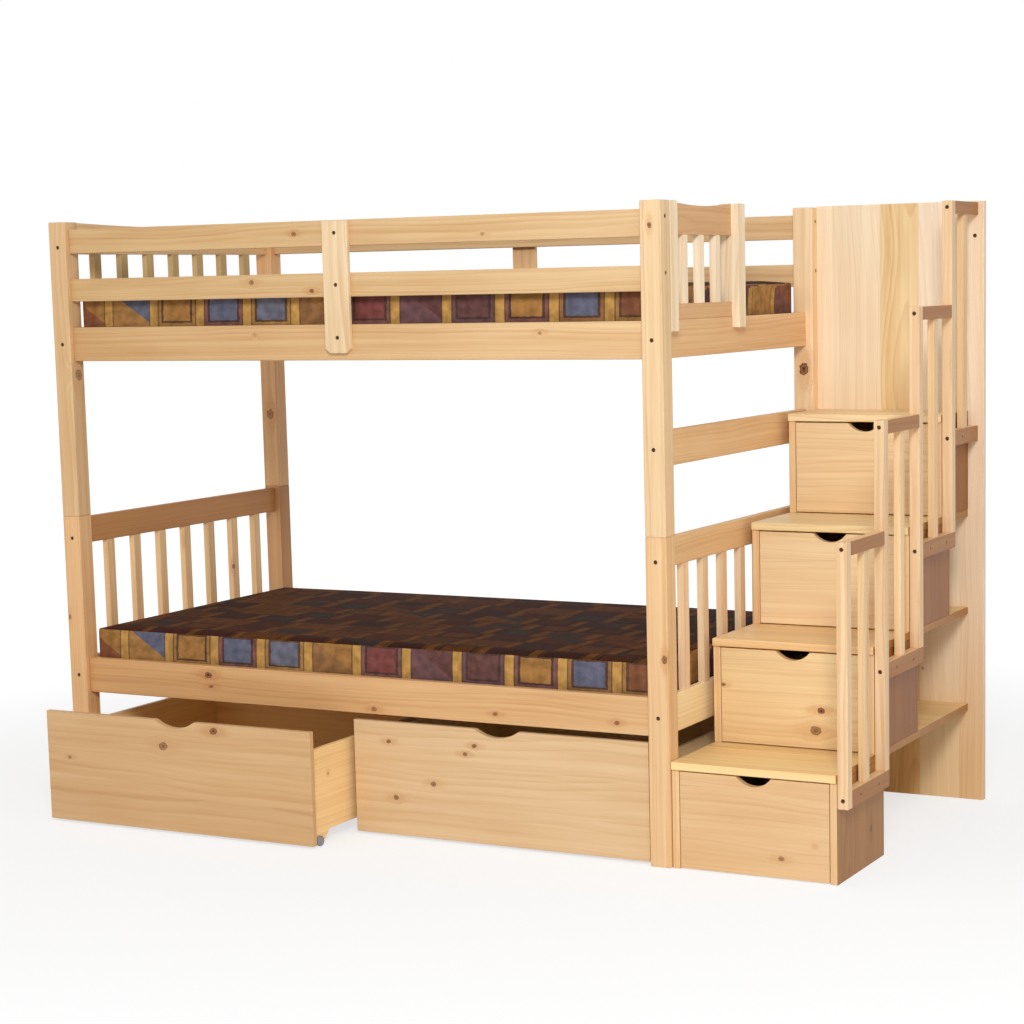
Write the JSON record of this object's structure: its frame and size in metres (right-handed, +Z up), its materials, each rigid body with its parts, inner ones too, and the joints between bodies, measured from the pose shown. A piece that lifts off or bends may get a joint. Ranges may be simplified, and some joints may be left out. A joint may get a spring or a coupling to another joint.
{
  "type": "bunk bed with storage stairs",
  "caption": "Solid pine bunk bed with drawers in its steps, a railing beside them, open shelves behind them, and low drawers on wheels under the lower bunk.",
  "frame": {"origin": "on the floor, in the middle of the footprint of the whole object as pictured, with the left floor drawer pulled out", "axes": "+X along the bed towards the stairs, +Y from the open front towards the wall side, +Z up"},
  "size_m": [2.553, 1.31, 1.781],
  "materials": {
    "pine": "clear satin lacquer on knotty pine",
    "mattress_fabric": "printed patchwork cotton",
    "zinc_steel": "dark zinc",
    "grey_wheel": "moulded grey plastic"
  },
  "bodies": {
    "frame": {"back_guard_rails": "pine", "back_tie_board": "pine", "bed_cleats": "pine", "bolts_and_screws": "zinc_steel", "front_guard_rails": "pine", "front_tie_board": "pine", "lower_back_left_post": "pine", "lower_back_rail": "pine", "lower_back_right_post": "pine", "lower_base_slats": "pine", "lower_front_left_post": "pine", "lower_front_rail": "pine", "lower_front_right_post": "pine", "lower_left_foot_rail": "pine", "lower_left_head_rail": "pine", "lower_left_slats": "pine", "lower_mattress": "mattress_fabric", "lower_right_foot_rail": "pine", "lower_right_head_rail": "pine", "lower_right_slats": "pine", "post_dowels": "pine", "railing_posts": "pine", "railing_rails": "pine", "railing_slats": "pine", "right_cross_rail": "pine", "shelf_side_panels": "pine", "stair_back_panel": "pine", "stair_box_1": "pine", "stair_box_2": "pine", "stair_box_3": "pine", "stair_box_4": "pine", "stair_guard_rails": "pine", "stair_guard_slats": "pine", "stair_guard_stiles": "pine", "stair_tread_1": "pine", "stair_tread_2": "pine", "stair_tread_3": "pine", "stair_tread_4": "pine", "upper_back_left_post": "pine", "upper_back_rail": "pine", "upper_back_right_post": "pine", "upper_base_slats": "pine", "upper_front_left_post": "pine", "upper_front_rail": "pine", "upper_front_right_post": "pine", "upper_left_crest_rail": "pine", "upper_left_rail": "pine", "upper_left_slats": "pine", "upper_mattress": "mattress_fabric", "upper_right_rail": "pine"},
    "stair_drawer_1": {"stair_drawer_1": "pine"},
    "stair_drawer_2": {"stair_drawer_2": "pine"},
    "stair_drawer_3": {"stair_drawer_3": "pine"},
    "stair_drawer_4": {"stair_drawer_4": "pine"},
    "left_floor_drawer": {"left_floor_drawer": "pine"},
    "left_drawer_front_wheels": {"left_drawer_front_wheels": "grey_wheel"},
    "left_drawer_rear_wheels": {"left_drawer_rear_wheels": "grey_wheel"},
    "right_floor_drawer": {"right_floor_drawer": "pine"},
    "right_drawer_front_wheels": {"right_drawer_front_wheels": "grey_wheel"},
    "right_drawer_rear_wheels": {"right_drawer_rear_wheels": "grey_wheel"}
  },
  "joints": [
    {"name": "stair_drawer_1_slide", "type": "slide", "parent": "frame", "child": "stair_drawer_1", "axis": [0, -1, 0], "range_m": [0, 0.26]},
    {"name": "stair_drawer_2_slide", "type": "slide", "parent": "frame", "child": "stair_drawer_2", "axis": [0, -1, 0], "range_m": [0, 0.26]},
    {"name": "stair_drawer_3_slide", "type": "slide", "parent": "frame", "child": "stair_drawer_3", "axis": [0, -1, 0], "range_m": [0, 0.26]},
    {"name": "stair_drawer_4_slide", "type": "slide", "parent": "frame", "child": "stair_drawer_4", "axis": [0, -1, 0], "range_m": [0, 0.16]},
    {"name": "left_floor_drawer_roll_out", "type": "slide", "parent": "frame", "child": "left_floor_drawer", "axis": [0, -1, 0], "range_m": [-0.215, 0.345]},
    {"name": "left_drawer_front_wheels_turn", "type": "hinge", "parent": "left_floor_drawer", "child": "left_drawer_front_wheels", "pos_m": [-0.2615, -0.61, 0.015], "axis": [1, 0, 0], "range_deg": [-841.2, 1337.8]},
    {"name": "left_drawer_rear_wheels_turn", "type": "hinge", "parent": "left_floor_drawer", "child": "left_drawer_rear_wheels", "pos_m": [-0.2615, 0.126, 0.015], "axis": [1, 0, 0], "range_deg": [-841.2, 1337.8]},
    {"name": "right_floor_drawer_roll_out", "type": "slide", "parent": "frame", "child": "right_floor_drawer", "axis": [0, -1, 0], "range_m": [0, 0.56]},
    {"name": "right_drawer_front_wheels_turn", "type": "hinge", "parent": "right_floor_drawer", "child": "right_drawer_front_wheels", "pos_m": [-0.2615, -0.395, 0.015], "axis": [1, 0, 0], "range_deg": [-20, 2159]},
    {"name": "right_drawer_rear_wheels_turn", "type": "hinge", "parent": "right_floor_drawer", "child": "right_drawer_rear_wheels", "pos_m": [-0.2615, 0.341, 0.015], "axis": [1, 0, 0], "range_deg": [-20, 2159]}
  ],
  "couplings": [
    {"joint": "left_drawer_front_wheels_turn", "follows": "left_floor_drawer_roll_out", "rad_per_m": 66.667},
    {"joint": "left_drawer_rear_wheels_turn", "follows": "left_floor_drawer_roll_out", "rad_per_m": 66.667},
    {"joint": "right_drawer_front_wheels_turn", "follows": "right_floor_drawer_roll_out", "rad_per_m": 66.667},
    {"joint": "right_drawer_rear_wheels_turn", "follows": "right_floor_drawer_roll_out", "rad_per_m": 66.667}
  ]
}
